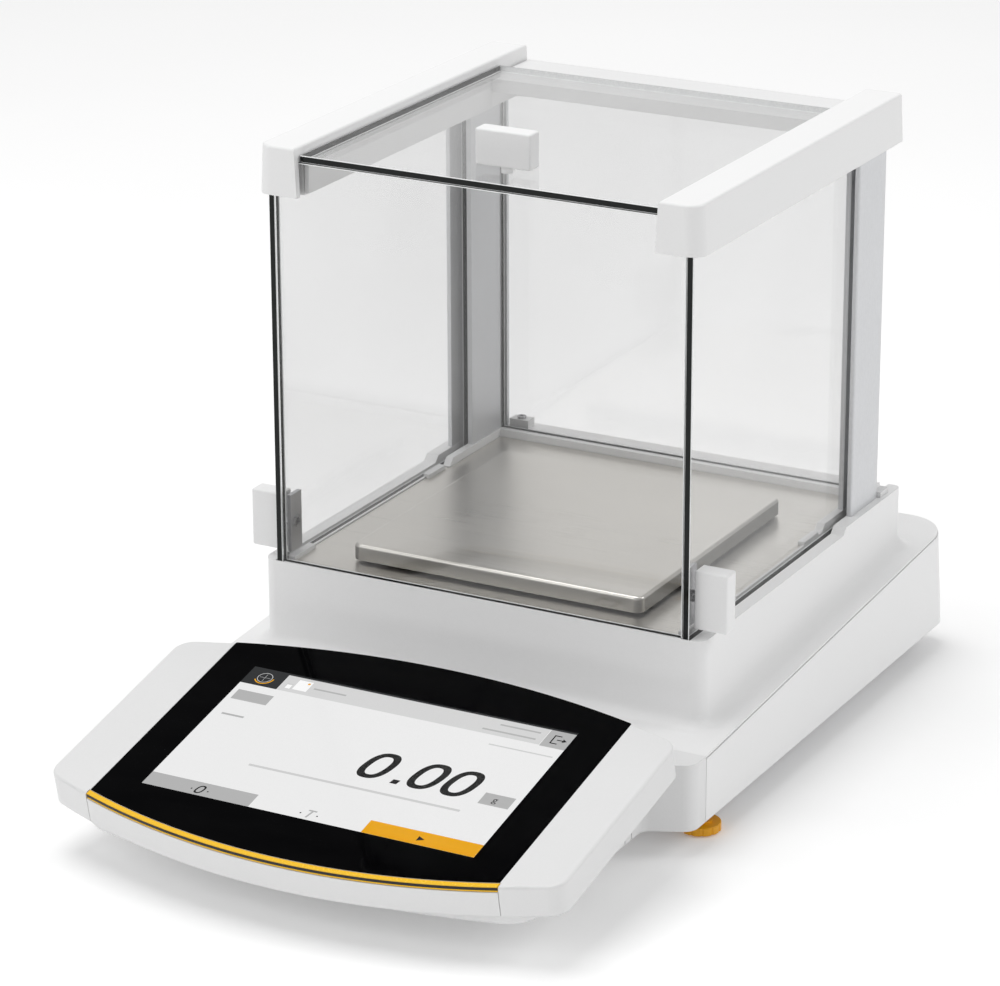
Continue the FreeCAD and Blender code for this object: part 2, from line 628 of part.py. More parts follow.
def make_door_track():
    """Grey insert under the cap; the top edge of the door runs in its slot."""
    front = GLASS_FRONT + GLASS_T + 0.4
    bar = front_profile([(87.3, RAIL_BOTTOM), (102.4, RAIL_BOTTOM), (101.9, RAIL_TOP - 5.0),
                         (88.2, RAIL_TOP - 5.0)], front, RAIL_BACK - 2.4)
    slot = box(SLOT_IN, SLOT_OUT, front - 5, RAIL_BACK, RAIL_BOTTOM - 5, DOOR_TOP + 1.0)
    return bar.cut(slot)


def make_glass_ledge():
    """Grey strip inside the rail that the top door slides on."""
    top = TOP_GLASS_Z - GLASS_T - 0.2
    front = GLASS_FRONT + GLASS_T + 0.4
    return box(82.4, RAIL_IN_BOTTOM - 0.1, front, CROSS_FRONT - 0.1, RAIL_BOTTOM + 1.0, top)


def make_rear_crossbar():
    """Wide bar between the rails: the top door slides over it, its rear leg backs the rear glass."""
    leg = REAR_GLASS_Y + GLASS_T + 0.2
    leg_z = RAIL_BOTTOM + 0.6
    section = [(CROSS_FRONT, CROSS_SHELF), (CROSS_FRONT, CROSS_TOP), (CROSS_BACK, CROSS_TOP),
               (CROSS_BACK, leg_z), (leg, leg_z), (leg, CROSS_SHELF)]
    return side_profile(section, -RAIL_IN_BOTTOM + 0.1, RAIL_IN_BOTTOM - 0.1)


def make_front_glass():
    half = SLOT_IN + 0.3
    pane = box(-half, half, GLASS_FRONT, GLASS_FRONT + GLASS_T, RIM_Z, RAIL_BOTTOM - 0.2)
    neck = box(-RAIL_IN_BOTTOM - 2.5, RAIL_IN_BOTTOM + 2.5, GLASS_FRONT, GLASS_FRONT + GLASS_T,
               RAIL_BOTTOM - 5, TOP_GLASS_Z - GLASS_T - 0.3)
    return pane.fuse(neck).removeSplitter()


def make_rear_glass():
    lower = box(-POST_IN + 0.2, POST_IN - 0.2, REAR_GLASS_Y, REAR_GLASS_Y + GLASS_T,
                RIM_Z + REAR_RISE, RAIL_BOTTOM - 0.2)
    upper = box(-82.2, 82.2, REAR_GLASS_Y, REAR_GLASS_Y + GLASS_T, RAIL_BOTTOM - 5, REAR_GLASS_TOP)
    return lower.fuse(upper).removeSplitter()


def make_glass_brackets():
    """Two feet behind the rear glass and two stops behind the outer post covers."""
    blocks = []
    z0 = RIM_Z + REAR_RISE
    for side in (-1, 1):
        x = side * BRACKET_X
        block = box(x - 5, x + 5, BRACKET_Y, BRACKET_Y + 6.5, z0, z0 + BRACKET_T)
        block = block.cut(rod(x, BRACKET_Y + 3.0, z0 - 1, 1.3, 10))
        x0, x1 = sorted((side * COVER_IN, side * (COVER_OUT + 1.6)))
        blocks.append(block)
        blocks.append(box(x0, x1, COVER_BACK + 0.2, COVER_BACK + 9.0, z0, z0 + 2.6))
    return group(blocks)


# ---------------------------------------------------------------- doors
def make_door_glass():
    pane = box(DOOR_OUT - GLASS_T, DOOR_OUT, GLASS_FRONT, GLASS_FRONT + DOOR_LEN, DOOR_BOTTOM, DOOR_TOP)
    return pane.cut(rod(DOOR_OUT - 5, HANDLE_MID_Y, HANDLE_MID_Z, DOOR_HOLE_R, 10, (1, 0, 0)))


def make_door_handle():
    block = box(DOOR_OUT, HANDLE_OUT, HANDLE_Y0, HANDLE_Y1, HANDLE_Z0, HANDLE_Z1)
    block = block.makeFillet(0.9, block.Edges)
    return block.cut(rod(DOOR_OUT - 1, HANDLE_MID_Y, HANDLE_MID_Z, SCREW_R, SCREW_GRIP + 2, (1, 0, 0)))


def make_door_clamp():
    x1 = DOOR_OUT - GLASS_T
    plate = box(x1 - CLAMP_T, x1, HANDLE_Y0, HANDLE_Y1, HANDLE_Z0, HANDLE_Z1)
    return plate.cut(rod(x1 - 5, HANDLE_MID_Y, HANDLE_MID_Z, SCREW_R, 10, (1, 0, 0)))


def make_door_screw():
    under = DOOR_OUT - GLASS_T - CLAMP_T
    return screw(under, HANDLE_MID_Y, HANDLE_MID_Z, (1, 0, 0), CLAMP_T + GLASS_T + SCREW_GRIP,
                 SCREW_HEAD_R, SCREW_R, SCREW_HEAD_T, SCREW_SOCKET_R, SCREW_SOCKET_D)


def make_top_glass():
    pane = box(-TOP_GLASS_HALF, TOP_GLASS_HALF, GLASS_FRONT + 0.5, TOP_GLASS_BACK,
               TOP_GLASS_Z - GLASS_T, TOP_GLASS_Z)
    return pane.cut(rod(0, TOP_HANDLE_Y, TOP_GLASS_Z - 5, DOOR_HOLE_R, 10))


def make_top_handle():
    """Block on the top door, held by a stud through the hole in the glass."""
    block = box(-TOP_HANDLE_HALF, TOP_HANDLE_HALF, TOP_HANDLE_Y0, TOP_HANDLE_Y1, TOP_GLASS_Z, TOP_HANDLE_Z)
    block = block.makeFillet(1.0, block.Edges)
    stud = rod(0, TOP_HANDLE_Y, TOP_GLASS_Z - GLASS_T, SCREW_R, GLASS_T + 1.0)
    return block.fuse(stud).removeSplitter()


# ---------------------------------------------------------------- weighing mechanism
def make_weigh_cell():
    """Monolithic block with the slots of its parallel guide and its lever."""
    block = box(-CELL_HALF, CELL_HALF, PAN_Y - 10, PAN_Y + 85, CELL_Z, CELL_TOP)
    for z in CELL_SLOTS:
        block = block.cut(box(-30, 30, PAN_Y + 8, PAN_Y + 60, z, z + 1.0))
        for y in (PAN_Y + 8, PAN_Y + 60):
            block = block.cut(rod(-30, y, z + 0.5, 2.5, 60, (1, 0, 0)))
    return block.cut(box(-30, 30, PAN_Y + 20, PAN_Y + 20.8, CELL_SLOTS[0] + 1, CELL_SLOTS[1] + 0.5))


def make_magnet_system():
    """Round yoke with the ring gap in which the coil moves."""
    yoke = rod(0, PAN_Y + 85, MAGNET_Z, 15.0, 14.0, (0, 1, 0))
    return yoke.cut(tube(0, PAN_Y + 92, MAGNET_Z, 11.0, 8.0, 8.0, (0, 1, 0)))


def make_adjustment_drive():
    """Small gear motor and its lifting guide beside the weigh cell."""
    floor = PLINTH_BOTTOM + BASE_PLATE_T
    motor = rod(MOTOR_X, PAN_Y - 22, floor + 18.0, MOTOR_R, 24.0, (0, 1, 0))
    bed = box(MOTOR_X - 10, MOTOR_X + 10, PAN_Y - 22, PAN_Y + 22, floor, floor + 10.0)
    guide = rod(MOTOR_X, WEIGHT_Y, floor + 9.0, 3.0, 27.0)
    return motor.fuse(bed).fuse(guide).removeSplitter()


def make_adjustment_weight():
    return tube(MOTOR_X, WEIGHT_Y, 34.0, 8.0, 3.3, 12.0)


def make_main_board():
    board = box(-84, -36, PAN_Y - 62, PAN_Y + 62, BOARD_Z, BOARD_Z + BOARD_T)
    chip_z = BOARD_Z + BOARD_T
    chips = ((-60, PAN_Y - 30, 9, 9, 2.0), (-62, PAN_Y + 10, 12, 7, 3.0), (-56, PAN_Y + 40, 6, 10, 6.0))
    for x, y, half_w, half_d, height in chips:
        board = board.fuse(box(x - half_w, x + half_w, y - half_d, y + half_d, chip_z - 0.5, chip_z + height))
    return board.removeSplitter()


# ---------------------------------------------------------------- control unit
# Built flat, with the glass face at height 0 and the screen centre at the origin, then tilted.
def arc_points(crest, radius, half, sign):
    """Three points of a shallow arc across the unit; sign is +1 when the crest points back."""
    drop = radius - math.sqrt(radius * radius - half * half)
    return V(-half, crest - sign * drop, 0), V(0, crest, 0), V(half, crest - sign * drop, 0)


def curved_plate(half, rear_crest, front_crest, z0, z1, corner=0.0):
    """Plate with straight sides and bowed front and rear edges."""
    rear_r = REAR_ARC_R + rear_crest - REAR_CREST
    front_r = FRONT_ARC_R - (front_crest - FRONT_CREST)
    rl, rm, rr = arc_points(rear_crest, rear_r, half, 1)
    fl, fm, fr = arc_points(front_crest, front_r, half, -1)
    edges = [Part.Arc(rl, rm, rr).toShape(), Part.makeLine(rr, fr), Part.Arc(fr, fm, fl).toShape(),
             Part.makeLine(fl, rl)]
    plate = Part.Face(Part.Wire(edges)).extrude(V(0, 0, z1 - z0))
    plate.translate(V(0, 0, z0))
    if corner:
        plate = round_uprights(plate, corner)
    return plate


def tilt(shape):
    shape = shape.copy()
    shape.rotate(V(0, 0, 0), V(1, 0, 0), DISPLAY_TILT)
    shape.translate(V(0, DISPLAY_Y, DISPLAY_Z))
    return shape


def make_display_housing():
    body = curved_plate(DISPLAY_W / 2, REAR_CREST, FRONT_CREST, -DISPLAY_T, 0, DISPLAY_R)
    body = round_level(body, 1.2, 0)
    hollow = curved_plate(DISPLAY_W / 2 - WALL, REAR_CREST - WALL, FRONT_CREST + WALL + 1.5,
                          -DISPLAY_T - 1, -2.4, DISPLAY_R - WALL)
    body = body.cut(hollow)
    body = body.cut(curved_plate(GLASS_HALF_W + 0.15, REAR_CREST + 3, GLASS_FRONT_CREST - 0.15,
                                 -COVER_GLASS_T - 0.2, 1))
    body = body.cut(curved_plate(GLASS_HALF_W - 5, REAR_CREST - 6.8, GLASS_FRONT_CREST + 6, -6, 1))
    recess = curved_plate(TRIM_HALF, REAR_CREST, FRONT_CREST - 4, -DISPLAY_T - 1, 1)
    recess = recess.cut(curved_plate(TRIM_HALF + 5, REAR_CREST + 5, FRONT_CREST + TRIM_D, -DISPLAY_T - 2, 2))
    return tilt(body.cut(recess))


def make_display_glass():
    pane = curved_plate(GLASS_HALF_W, REAR_CREST, GLASS_FRONT_CREST, -COVER_GLASS_T, 0, 0.8)
    return tilt(pane)


def make_screen_panel():
    half_w = SCREEN_W / 2 + 4
    half_h = SCREEN_H / 2 + 4
    return tilt(box(-half_w, half_w, -half_h, half_h, -COVER_GLASS_T - 4.2, -COVER_GLASS_T))


def make_front_trim():
    """Curved front panel between the two wings."""
    half = TRIM_HALF - 0.25
    top = -ACCENT_T - 0.2
    band = curved_plate(half, REAR_CREST, FRONT_CREST, -DISPLAY_T, top)
    inside = curved_plate(half + 5, REAR_CREST + 5, FRONT_CREST + TRIM_D - 0.2, -DISPLAY_T - 2, 2)
    return tilt(band.cut(inside))


def make_accent_strip():
    """Thin coloured strip between the cover glass and the front trim."""
    half = TRIM_HALF - 0.4
    band = curved_plate(half, REAR_CREST, FRONT_CREST + ACCENT_SET_BACK, -ACCENT_T - 0.1, -0.1)
    back = FRONT_CREST + ACCENT_SET_BACK + ACCENT_D
    return tilt(band.cut(curved_plate(half + 5, REAR_CREST + 5, back, -5, 2)))


def make_display_board():
    return tilt(box(-70, 70, -38, 38, -9.2, -7.6))


def pivot_in_unit():
    """Hinge centre in the flat frame of the control unit."""
    angle = math.radians(DISPLAY_TILT)
    dy = HINGE_Y - DISPLAY_Y
    dz = HINGE_Z - DISPLAY_Z
    return dy * math.cos(angle) + dz * math.sin(angle), -dy * math.sin(angle) + dz * math.cos(angle)


def belly_block(inset, z0, z1, fillet):
    """Raised middle of the under-shell, with a bowed front, rounded corners and a soft lower edge."""
    half = UNDER_HALF - inset
    back = UNDER_BACK - inset
    front_left, front_middle, front_right = arc_points(UNDER_FRONT + inset, UNDER_ARC_R - inset, half, -1)
    rear_left = V(-half, back, 0)
    rear_right = V(half, back, 0)
    edges = [Part.makeLine(rear_left, rear_right), Part.makeLine(rear_right, front_right),
             Part.Arc(front_right, front_middle, front_left).toShape(), Part.makeLine(front_left, rear_left)]
    block = Part.Face(Part.Wire(edges)).extrude(V(0, 0, z1 - z0))
    block.translate(V(0, 0, z0))
    block = round_uprights(block, UNDER_CORNER_R - inset, lambda p: p.y < back - 1)
    return round_level(block, fillet, z0)


def make_display_under_shell():
    """Bottom of the control unit: flush plate, raised belly and two hinge lugs."""
    half = DISPLAY_W / 2 - WALL - 0.2
    z0 = -DISPLAY_T
    shell = curved_plate(half, REAR_CREST - WALL - 0.2, FRONT_CREST + WALL + 1.7, z0, z0 + 2.0,
                         DISPLAY_R - WALL - 0.2)
    belly = belly_block(0, -UNDER_DEPTH, z0, UNDER_FILLET)
    inner = belly_block(WALL, -UNDER_DEPTH + WALL, z0 + 5, UNDER_FILLET - WALL)
    shell = shell.fuse(belly).cut(inner)
    pivot_y, pivot_z = pivot_in_unit()
    for side in (-1, 1):
        x0, x1 = sorted((side * LUG_X0, side * LUG_X1))
        lug = box(x0, x1, pivot_y - LUG_R, pivot_y + LUG_R, pivot_z, z0 + 0.5)
        lug = lug.fuse(rod(x0, pivot_y, pivot_z, LUG_R, x1 - x0, (1, 0, 0)))
        lug = lug.cut(rod(x0 - 1, pivot_y, pivot_z, HINGE_R + RUN_FIT, x1 - x0 + 2, (1, 0, 0)))
        shell = shell.fuse(lug)
    return tilt(shell.removeSplitter())



# ---------------------------------------------------------------- output
def both_sides(name, right):
    return {name + "_left": mirror(right), name + "_right": right}


def all_nodes():
    nodes = {
        "base_plate": make_base_plate(),
        "upper_housing": make_upper_housing(),
        "rear_panel": make_rear_panel(),
        "front_cap": make_front_cap(),
        "hinge_pins": make_hinge_pins(),
        "rear_feet": make_rear_feet(),
        "cover_screws": make_screws(),
        "power_jack": make_power_jack(),
        "data_port": make_data_port(),
        "chamber_floor": make_chamber_floor(),
        "dust_collar": make_dust_collar(),
        "load_receiver": make_load_receiver(),
        "weigh_cell": make_weigh_cell(),
        "magnet_system": make_magnet_system(),
        "adjustment_drive": make_adjustment_drive(),
        "adjustment_weight": make_adjustment_weight(),
        "main_board": make_main_board(),
        "door_guides": make_door_guides(),
        "rear_crossbar": make_rear_crossbar(),
        "front_glass": make_front_glass(),
        "rear_glass": make_rear_glass(),
        "glass_brackets": make_glass_brackets(),
        "weighing_pan": make_weighing_pan(),
        "pan_support": make_pan_support(),
        "top_door_glass": make_top_glass(),
        "top_door_handle": make_top_handle(),
        "display_housing": make_display_housing(),
        "display_glass": make_display_glass(),
        "screen_panel": make_screen_panel(),
        "front_trim": make_front_trim(),
        "accent_strip": make_accent_strip(),
        "display_board": make_display_board(),
        "display_under_shell": make_display_under_shell(),
    }
    nodes.update(both_sides("side_panel", make_side_panel()))
    nodes.update(both_sides("rear_post", make_rear_post()))
    nodes.update(both_sides("post_cover", make_post_cover()))
    nodes.update(both_sides("rail_cover", make_rail_cover()))
    nodes.update(both_sides("door_track", make_door_track()))
    nodes.update(both_sides("glass_ledge", make_glass_ledge()))
    nodes.update(both_sides("door_glass", make_door_glass()))
    nodes.update(both_sides("door_handle", make_door_handle()))
    nodes.update(both_sides("door_clamp", make_door_clamp()))
    nodes.update(both_sides("door_screw", make_door_screw()))
    nodes.update(both_sides("foot_pad", make_foot_pad()))
    nodes.update(both_sides("foot_knob", make_foot_knob()))
    return nodes


os.makedirs("parts", exist_ok=True)
for node, shape in all_nodes().items():
    shape.exportStep("parts/" + node + ".step")
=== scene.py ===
import json
import math

import bmesh
import bpy
from mathutils import Matrix, Vector


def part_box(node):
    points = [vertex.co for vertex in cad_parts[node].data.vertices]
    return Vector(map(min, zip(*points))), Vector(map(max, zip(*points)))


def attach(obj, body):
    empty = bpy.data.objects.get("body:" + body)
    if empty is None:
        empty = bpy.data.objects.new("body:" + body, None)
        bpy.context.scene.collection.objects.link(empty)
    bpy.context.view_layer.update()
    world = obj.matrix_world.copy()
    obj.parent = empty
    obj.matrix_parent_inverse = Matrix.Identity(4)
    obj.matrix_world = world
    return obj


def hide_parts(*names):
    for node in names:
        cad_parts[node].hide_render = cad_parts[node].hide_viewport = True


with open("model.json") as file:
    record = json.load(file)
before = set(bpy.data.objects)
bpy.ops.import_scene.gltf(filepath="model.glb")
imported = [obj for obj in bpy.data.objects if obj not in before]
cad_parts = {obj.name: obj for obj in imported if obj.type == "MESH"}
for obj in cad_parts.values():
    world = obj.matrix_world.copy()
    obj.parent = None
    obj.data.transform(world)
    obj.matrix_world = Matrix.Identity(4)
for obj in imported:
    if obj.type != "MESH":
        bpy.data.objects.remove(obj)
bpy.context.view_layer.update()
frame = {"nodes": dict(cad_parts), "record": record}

# Looks of a precision balance with a glass draft shield. Metres; +X right, +Y back, +Z up.
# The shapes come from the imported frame; this script adds the glass, the screen and the finishes.
NODES = frame["nodes"]
RECORD = frame["record"]
MM = 0.001
X_AXIS = Vector((1, 0, 0))
Y_AXIS = Vector((0, 1, 0))
Z_AXIS = Vector((0, 0, 1))


# ---------------------------------------------------------------- colours
def srgb(red, green, blue):
    """Linear colour with alpha from 0 to 255 display values."""
    linear = []
    for value in (red, green, blue):
        share = value / 255
        linear.append(share / 12.92 if share <= 0.04045 else ((share + 0.055) / 1.055) ** 2.4)
    return (*linear, 1.0)


def shaded(colour, factor):
    return (*[min(1.0, channel * factor) for channel in colour[:3]], 1.0)


# ---------------------------------------------------------------- shader helpers
def add_node(tree, kind, **settings):
    made = tree.nodes.new(kind)
    for name, value in settings.items():
        setattr(made, name, value)
    return made


def noise(tree, stretch, detail=3.0, roughness=0.55):
    """Grain from object coordinates; stretch is in repeats per metre along X, Y and Z."""
    place = add_node(tree, "ShaderNodeTexCoord")
    mapping = add_node(tree, "ShaderNodeMapping")
    mapping.inputs["Scale"].default_value = stretch
    grain = add_node(tree, "ShaderNodeTexNoise")
    grain.inputs["Scale"].default_value = 1.0
    grain.inputs["Detail"].default_value = detail
    grain.inputs["Roughness"].default_value = roughness
    tree.links.new(place.outputs["Object"], mapping.inputs["Vector"])
    tree.links.new(mapping.outputs["Vector"], grain.inputs["Vector"])
    return grain.outputs["Fac"]


def spread(tree, value, low, high):
    """Maps a grain value onto a range of numbers."""
    made = add_node(tree, "ShaderNodeMapRange")
    made.inputs["From Min"].default_value = 0.3
    made.inputs["From Max"].default_value = 0.7
    made.inputs["To Min"].default_value = low
    made.inputs["To Max"].default_value = high
    tree.links.new(value, made.inputs["Value"])
    return made.outputs["Result"]


def tint(tree, value, low, high):
    """Maps a grain value onto a range of colours."""
    made = add_node(tree, "ShaderNodeMix", data_type="RGBA")
    made.inputs[6].default_value = low
    made.inputs[7].default_value = high
    tree.links.new(spread(tree, value, 0.0, 1.0), made.inputs[0])
    return made.outputs[2]


def new_material(name):
    material = bpy.data.materials.new(name)
    material.use_nodes = True
    return material, material.node_tree, material.node_tree.nodes["Principled BSDF"]


def finish_material(name, colour, roughness, metallic=0.0, stretch=(900, 900, 900), variation=0.03,
                    blur=0.04, bump=0.15, depth=0.00003, edge=0.0003, coat=0.0, detail=3.0):
    """Moulded, brushed or cast surface: fine grain in colour, gloss and relief, with softened edges."""
    material, tree, shader = new_material(name)
    fine = noise(tree, stretch, detail)
    broad = noise(tree, (14, 14, 14), 2.0)
    mixed = add_node(tree, "ShaderNodeMath", operation="MULTIPLY_ADD")
    mixed.inputs[1].default_value = 0.4
    tree.links.new(broad, mixed.inputs[0])
    halved = add_node(tree, "ShaderNodeMath", operation="MULTIPLY")
    halved.inputs[1].default_value = 0.6
    tree.links.new(fine, halved.inputs[0])
    tree.links.new(halved.outputs[0], mixed.inputs[2])
    blended = mixed.outputs[0]
    tree.links.new(tint(tree, blended, shaded(colour, 1 - variation), shaded(colour, 1 + variation)),
                   shader.inputs["Base Color"])
    tree.links.new(spread(tree, blended, roughness - blur, roughness + blur), shader.inputs["Roughness"])
    relief = add_node(tree, "ShaderNodeBump")
    relief.inputs["Strength"].default_value = bump
    relief.inputs["Distance"].default_value = depth
    tree.links.new(fine, relief.inputs["Height"])
    if edge:
        soft = add_node(tree, "ShaderNodeBevel", samples=4)
        soft.inputs["Radius"].default_value = edge
        tree.links.new(soft.outputs["Normal"], relief.inputs["Normal"])
    tree.links.new(relief.outputs["Normal"], shader.inputs["Normal"])
    shader.inputs["Metallic"].default_value = metallic
    shader.inputs["Coat Weight"].default_value = coat
    shader.inputs["Coat Roughness"].default_value = 0.04
    return material


# ---------------------------------------------------------------- finishes, one per record slot
WHITE = srgb(241, 241, 241)
LIGHT_GREY = srgb(231, 231, 231)
GREY = srgb(230, 230, 230)
AMBER = srgb(238, 168, 0)
# painted highlight: a brighter copy of the amber plastic for the accent strip, standing in for its glossy
# sheen
ACCENT_PAINTED_SHEEN = srgb(255, 198, 26)
STEEL = srgb(226, 223, 217)
ALUMINIUM = srgb(220, 221, 223)
BLACK = srgb(9, 9, 10)


def white_plastic():
    return finish_material("white_plastic", WHITE, 0.42, variation=0.012, bump=0.10)


def light_grey_plastic():
    return finish_material("light_grey_plastic", LIGHT_GREY, 0.40, variation=0.012, bump=0.10)


def grey_plastic():
    return finish_material("grey_plastic", GREY, 0.45, variation=0.02)


def amber_plastic():
    return finish_material("amber_plastic", AMBER, 0.35, variation=0.05)


def black_plastic():
    return finish_material("black_plastic", BLACK, 0.5, variation=0.2)


# painted shade: upright steel faces are darkened by face direction, standing in for the darker surroundings
# they reflect
PAINTED_SIDE_SHADE = 0.42         # steel on upright faces, against the same steel lying flat
SIDE_NORMAL = 0.05        # below this upward lean a face counts as upright
TOP_NORMAL = 0.45         # above this one it counts as lying flat


def brushed_steel():
    """Grain runs across the balance, as on ground stainless sheet; upright faces get painted shade, a darker
    base colour chosen by face direction.
    """
    material = finish_material("stainless_steel", STEEL, 0.33, metallic=1.0, stretch=(14, 2400, 2400),
                               variation=0.07, blur=0.08, bump=0.25, depth=0.00002, edge=0.0002, detail=5.0)
    tree = material.node_tree
    shader = tree.nodes["Principled BSDF"]
    plain = shader.inputs["Base Color"].links[0].from_socket
    # painted shade: the base colour is scaled down on faces that stand upright
    parts = add_node(tree, "ShaderNodeSeparateXYZ")
    tree.links.new(add_node(tree, "ShaderNodeNewGeometry").outputs["Normal"], parts.inputs[0])
    upright = add_node(tree, "ShaderNodeMapRange")
    upright.inputs["From Min"].default_value = SIDE_NORMAL
    upright.inputs["From Max"].default_value = TOP_NORMAL
    upright.inputs["To Min"].default_value = PAINTED_SIDE_SHADE
    upright.inputs["To Max"].default_value = 1.0
    tree.links.new(parts.outputs["Z"], upright.inputs["Value"])
    darker = add_node(tree, "ShaderNodeVectorMath", operation="SCALE")
    tree.links.new(plain, darker.inputs[0])
    tree.links.new(upright.outputs["Result"], darker.inputs["Scale"])
    tree.links.new(darker.outputs["Vector"], shader.inputs["Base Color"])
    return material


def post_aluminium():
    """Bead-blasted extrusion with a faint vertical draw."""
    return finish_material("post_aluminium", ALUMINIUM, 0.5, metallic=0.4, stretch=(1600, 1600, 500),
                           variation=0.06, bump=0.3)


def machined_aluminium():
    return finish_material("machined_aluminium", srgb(190, 190, 192), 0.34, metallic=1.0,
                           stretch=(60, 1500, 1500), variation=0.05, blur=0.06)


def screw_steel():
    return finish_material("screw_steel", srgb(178, 178, 180), 0.28, metallic=1.0,
                           stretch=(700, 700, 2500), variation=0.06, edge=0.00015)


def magnet_iron():
    return finish_material("magnet_iron", srgb(96, 96, 100), 0.4, metallic=1.0, variation=0.1)


def circuit_board():
    return finish_material("circuit_board", srgb(24, 92, 52), 0.35, stretch=(300, 60, 300),
                           variation=0.25, coat=0.4)


def rubber():
    return finish_material("rubber", srgb(44, 44, 46), 0.8, stretch=(1200, 1200, 1200),
                           variation=0.15, bump=0.5)


def black_glass():
    """Cover glass, printed black from behind, with the faint smears of use in its gloss."""
    material, tree, shader = new_material("black_glass")
    smears = noise(tree, (35, 90, 90), 4.0)
    tree.links.new(tint(tree, smears, srgb(1, 1, 2), srgb(5, 5, 6)), shader.inputs["Base Color"])
    tree.links.new(spread(tree, smears, 0.03, 0.08), shader.inputs["Roughness"])
    shader.inputs["Specular IOR Level"].default_value = 0.02
    return material


def screen_surface(name, colour, glow=0.87):
    """Part of the lit screen: a faint cell structure under a glossy face."""
    material, tree, shader = new_material(name)
    cells = noise(tree, (3000, 3000, 3000), 1.0)
    lit = tint(tree, cells, shaded(colour, 0.985), shaded(colour, 1.015))
    tree.links.new(lit, shader.inputs["Emission Color"])
    tree.links.new(tint(tree, cells, shaded(colour, 0.10), shaded(colour, 0.12)), shader.inputs["Base Color"])
    shader.inputs["Emission Strength"].default_value = glow
    shader.inputs["Roughness"].default_value = 0.12
    shader.inputs["Specular IOR Level"].default_value = 0.3
    return material


MIRROR_STRAIGHT = 0.035   # share mirrored when a pane is looked at straight on
MIRROR_STEEP = 0.8        # share added at the lowest angles


def pane_glass():
    """Thin clear glass: mostly see-through, with more mirror at low angles."""
    material, tree, shader = new_material("clear_glass")
    tree.nodes.remove(shader)
    output = tree.nodes["Material Output"]
    haze = noise(tree, (6, 6, 6), 2.0)
    clear = add_node(tree, "ShaderNodeBsdfTransparent")
    tree.links.new(tint(tree, haze, srgb(246, 246, 246), srgb(249, 249, 249)), clear.inputs["Color"])
    mirror = add_node(tree, "ShaderNodeBsdfGlossy")
    mirror.inputs["Color"].default_value = (1, 1, 1, 1)
    tree.links.new(spread(tree, haze, 0.01, 0.03), mirror.inputs["Roughness"])
    angle = add_node(tree, "ShaderNodeLayerWeight")
    angle.inputs["Blend"].default_value = 0.5
    steep = add_node(tree, "ShaderNodeMath", operation="POWER")
    steep.inputs[1].default_value = 5.0
    gain = add_node(tree, "ShaderNodeMath", operation="MULTIPLY_ADD")
    gain.inputs[1].default_value = MIRROR_STEEP
    gain.inputs[2].default_value = MIRROR_STRAIGHT
    tree.links.new(angle.outputs["Facing"], steep.inputs[0])
    tree.links.new(steep.outputs[0], gain.inputs[0])
    mix = add_node(tree, "ShaderNodeMixShader")
    tree.links.new(gain.outputs[0], mix.inputs[0])
    tree.links.new(clear.outputs[0], mix.inputs[1])
    tree.links.new(mirror.outputs[0], mix.inputs[2])
    tree.links.new(mix.outputs[0], output.inputs["Surface"])
    return material


def glass_edge():
    """Polished edge of a pane, which looks black because the light is led away inside."""
    material, tree, shader = new_material("glass_edge")
    grain = noise(tree, (300, 300, 300), 2.0)
    tree.links.new(tint(tree, grain, srgb(2, 4, 4), srgb(14, 20, 19)), shader.inputs["Base Color"])
    tree.links.new(spread(tree, grain, 0.05, 0.14), shader.inputs["Roughness"])
    shader.inputs["Specular IOR Level"].default_value = 0.25
    return material


def arris_painted_highlight():
    """Chamfer along the edges of a pane, painted pale as a highlight of the bright room it reflects."""
    material, tree, shader = new_material("arris_painted_highlight")
    grain = noise(tree, (1500, 1500, 1500), 2.0)
    tree.links.new(tint(tree, grain, srgb(232, 234, 234), srgb(248, 249, 249)), shader.inputs["Base Color"])
    tree.links.new(spread(tree, grain, 0.3, 0.5), shader.inputs["Roughness"])
    return material


def dress_cad_nodes():
    """Gives every carried-over node the finish of its slot; the accent strip gets a brighter copy of the
    amber plastic, a painted sheen.
    """
    makers = {
        "white_plastic": white_plastic, "light_grey_plastic": light_grey_plastic,
        "grey_plastic": grey_plastic, "amber_plastic": amber_plastic, "black_plastic": black_plastic,
        "clear_glass": pane_glass, "black_glass": black_glass, "stainless_steel": brushed_steel,
        "post_aluminium": post_aluminium, "aluminium": machined_aluminium, "screw_steel": screw_steel,
        "magnet_iron": magnet_iron, "circuit_board": circuit_board, "rubber": rubber,
        "screen": lambda: screen_surface("screen", srgb(60, 62, 66), 0.05),
    }
    finishes = {slot: make() for slot, make in makers.items()}
    # painted sheen: the accent strip gets the brighter amber instead of its slot's amber plastic
    accent = finish_material("accent_amber_painted_sheen", ACCENT_PAINTED_SHEEN, 0.25, variation=0.04)
    for part in RECORD["subparts"]:
        for holder in NODES[part["node"]].material_slots:
            holder.material = accent if part["node"] == "accent_strip" else finishes[part["material_slot"]]
    return finishes


